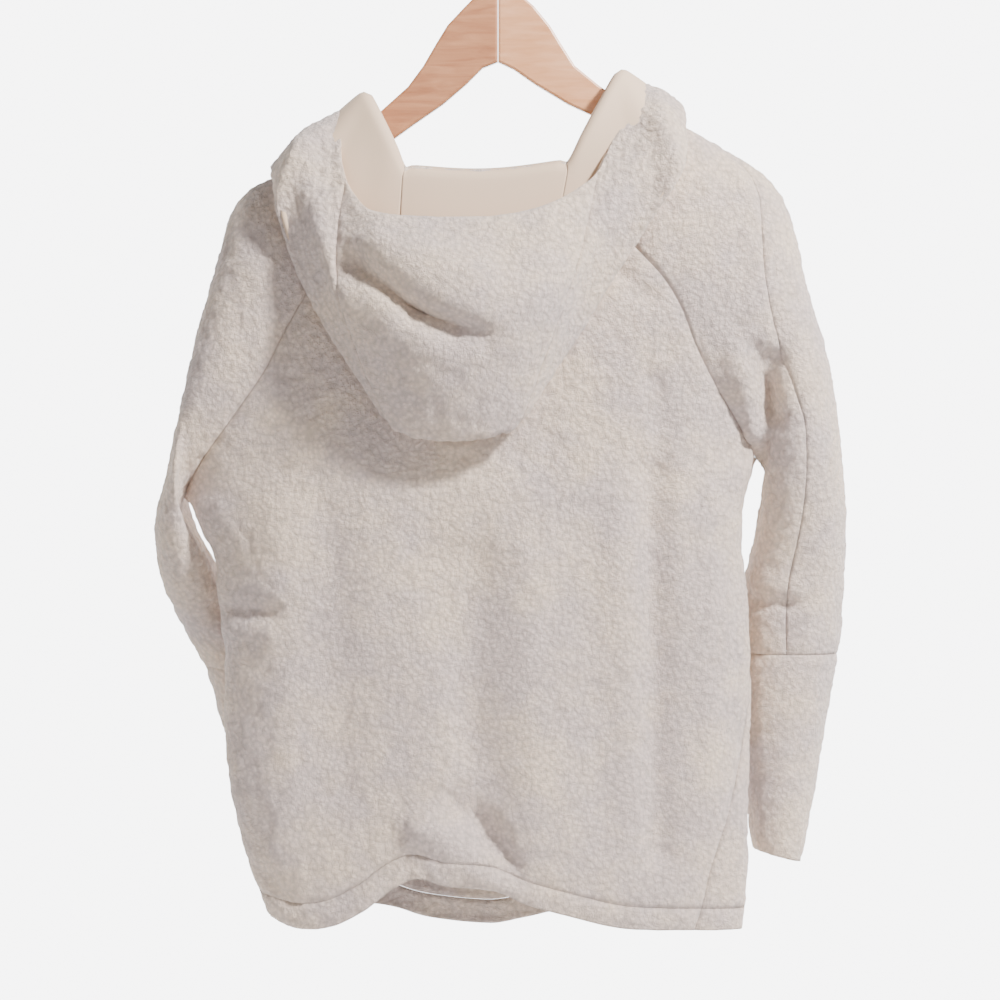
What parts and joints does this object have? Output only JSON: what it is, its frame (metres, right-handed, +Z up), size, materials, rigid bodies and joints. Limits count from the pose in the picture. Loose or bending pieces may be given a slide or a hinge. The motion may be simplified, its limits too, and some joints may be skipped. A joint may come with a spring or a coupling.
{
  "type": "hooded sherpa fleece pullover on a wooden hanger",
  "caption": "Long-sleeved hooded fleece pullover with raglan sleeves, hood turned down on the back, hanging on a wooden hanger.",
  "frame": {"origin": "inside of the hook's crown, where the rail carries it", "axes": "+Z up, the garment's back towards -Y, its left sleeve at -X"},
  "size_m": [0.6346, 0.2434, 0.9385],
  "materials": {
    "fleece": "curled sherpa pile, matte, warm off-white",
    "lining": "plain smooth beige jersey",
    "wood": "satin varnished light wood",
    "hook": "polished steel wire"
  },
  "bodies": {
    "root": {"back_panel": "fleece", "front_panel": "fleece", "hem_back": "fleece", "hem_front": "fleece", "sleeve_left_back": "fleece", "sleeve_left_front": "fleece", "sleeve_right_back": "fleece", "sleeve_right_front": "fleece", "forearm_left": "fleece", "forearm_right": "fleece", "hood_center": "fleece", "hood_left": "fleece", "hood_right": "fleece", "lining_center": "lining", "hanger_left": "wood", "hanger_right": "wood", "hanger_hook": "hook"}
  },
  "joints": []
}
